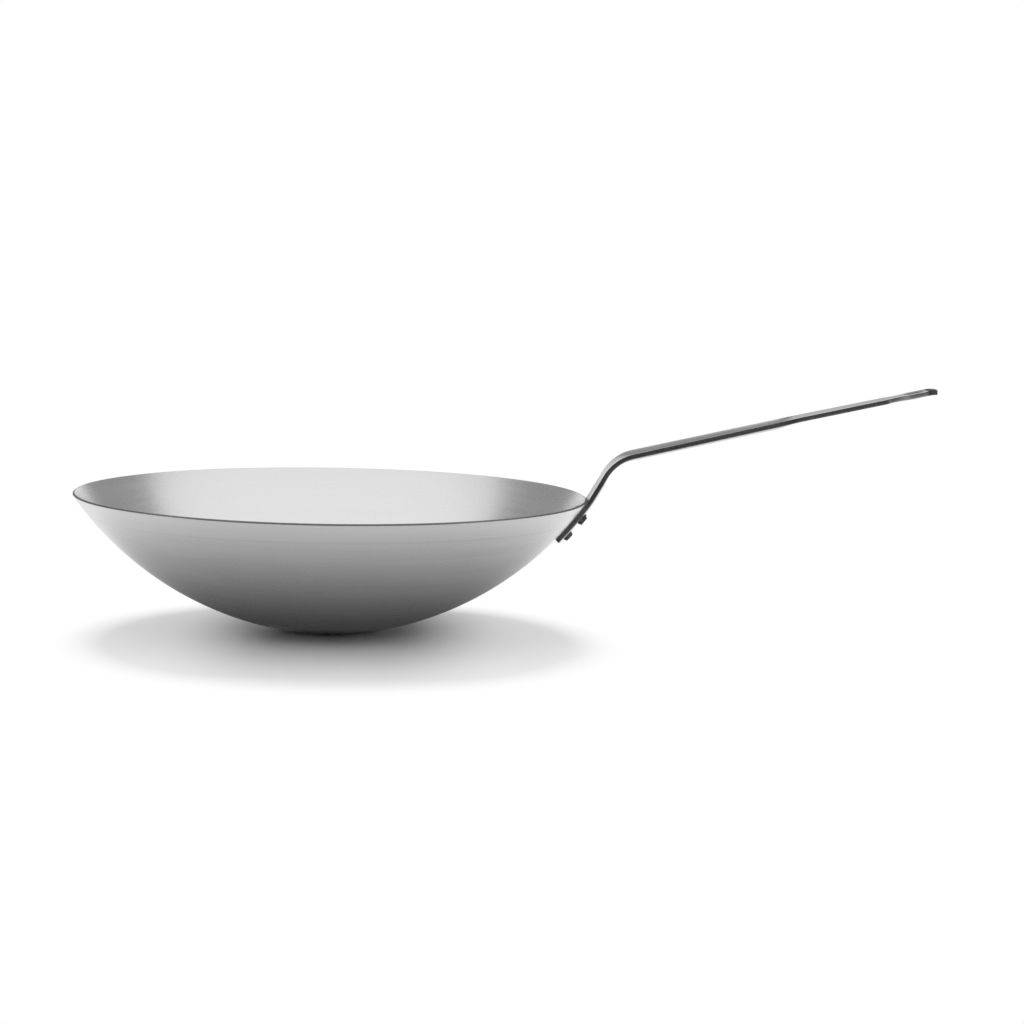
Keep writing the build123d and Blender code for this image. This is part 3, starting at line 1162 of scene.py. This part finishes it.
    def card(self, levels: Pair, piece: Piece, lights: bool) -> None:
        """Makes a stage piece a grey card that the camera doesn't see.

        Args:
            levels: its grey where it begins near the wok, and where it ends.
            piece: the stage piece.
            lights: whether it also holds light back from the floor, or is only mirrored by the steel.
        """
        material, bench = new_material(piece.name)
        distance = bench.length(bench.add("TexCoord").outputs["Object"])
        level = bench.fade(distance, *self.sweep_reach, *levels)
        grey = bench.add("Emission", None, Color=(1, 1, 1, 1), Strength=level).outputs[0]
        bench.add("OutputMaterial", None, Surface=grey)
        piece.data.materials.append(material)
        piece.visible_camera = False
        piece.visible_diffuse = lights
        piece.visible_shadow = lights
        piece.visible_transmission = False

    def ring(self, name: str, middle: float, circles: list[Pair]) -> Piece:
        """A stage ring between two level circles.

        Args:
            name: its name.
            middle: where the circles' middle stands along the handle's direction.
            circles: the radius and height of each circle.

        Returns:
            The new object.
        """
        turn = np.linspace(0, 2 * math.pi, self.ring_points)
        rows = [
            np.stack([middle + radius * np.cos(turn), radius * np.sin(turn), np.full_like(turn, height)], -1)
            for radius, height in circles
        ]
        faces = grid_faces(len(circles), self.ring_points).tolist()
        return self.stage_piece(name, np.concatenate(rows).tolist(), faces)

    def dark_band(self) -> None:
        """The dark of the studio between the white sweep and the lamp, as a ring of sloped card round the wok.

        Each edge stands at one reach from a middle above the floor: out by the reach times the cosine of its
        angle, and up by the reach times the sine.
        """
        middle, base = self.band_middle
        reach = self.band_reach
        circles = [(reach * math.cos(rise), base + reach * math.sin(rise)) for rise in self.band_angles]
        self.card((self.band_level, self.band_level), self.ring("dark_band", middle, circles), False)

    def dark_card(self) -> None:
        """The dark of the room on the camera's side."""
        front, top, (left, right) = self.card_place, self.card_height, self.card_ends
        corners = [(left, front, 0), (right, front, 0), (right, front, top), (left, front, top)]
        piece = self.stage_piece("dark_card", corners, [[0, 1, 2, 3]])
        self.card((self.card_level, self.card_level), piece, True)

    def painted_shadow_sweep(self) -> None:
        """A painted shadow under the wok: a flat ring just above the floor, dark near the foot and paler outwards,
        that only the steel mirrors.
        """
        circles = [(radius, self.sweep_height) for radius in (self.sweep_reach[0], self.sweep_end)]
        self.card(self.sweep_levels, self.ring("painted_shadow_sweep", 0.0, circles), False)

    def build(self) -> None:
        """Sets up the whole studio."""
        self.camera()
        self.lamp()
        self.world()
        self.floor()
        self.dark_band()
        self.dark_card()
        self.painted_shadow_sweep()
        bpy.context.scene.view_settings.view_transform = "Standard"


def main() -> None:
    """Builds and dresses the pieces in order, then sets up the studio."""
    bowl_steel = SpunSteel(
        name="bowl_steel", reflectance=0.72, roughness=0.28, cut_reflectance=0.18, cut_roughness=0.50,
        mottle=0.05, mottle_scale=14.0, grain_bump=0.35,
    )
    strip_steel = StripSteel(
        name="handle_steel", reflectance=0.54, roughness=0.28, cut_reflectance=0.12, cut_roughness=0.45,
        mottle=0.08, mottle_scale=30.0, grain_bump=0.5,
    )
    rivet_steel = HammeredSteel(
        name="rivet_steel", reflectance=0.85, roughness=0.25, cut_reflectance=0.09, cut_roughness=0.42,
        mottle=0.12, mottle_scale=300.0, grain_bump=0.6,
    )
    bowl = Bowl(bowl_steel)
    bowl.dress(bowl.build(), Slot.BOWL, "wok_body")
    handle = Handle(strip_steel, bowl)
    handle.dress(handle.build(), Slot.HANDLE, "handle")
    upper, lower, apart = 11.8 * MM, 26.9 * MM, 8.0 * MM
    places = {"upper_near": (upper, -apart), "upper_far": (upper, apart), "lower": (lower, 0.0)}
    for name, (drop, across) in places.items():
        rivet = Rivet(rivet_steel, bowl, handle, f"rivet_{name}_formed", drop, across)
        rivet.dress(rivet.build(), Slot.RIVET, f"rivet_{name}")
    Studio().build()


if __name__ == "__main__":
    main()
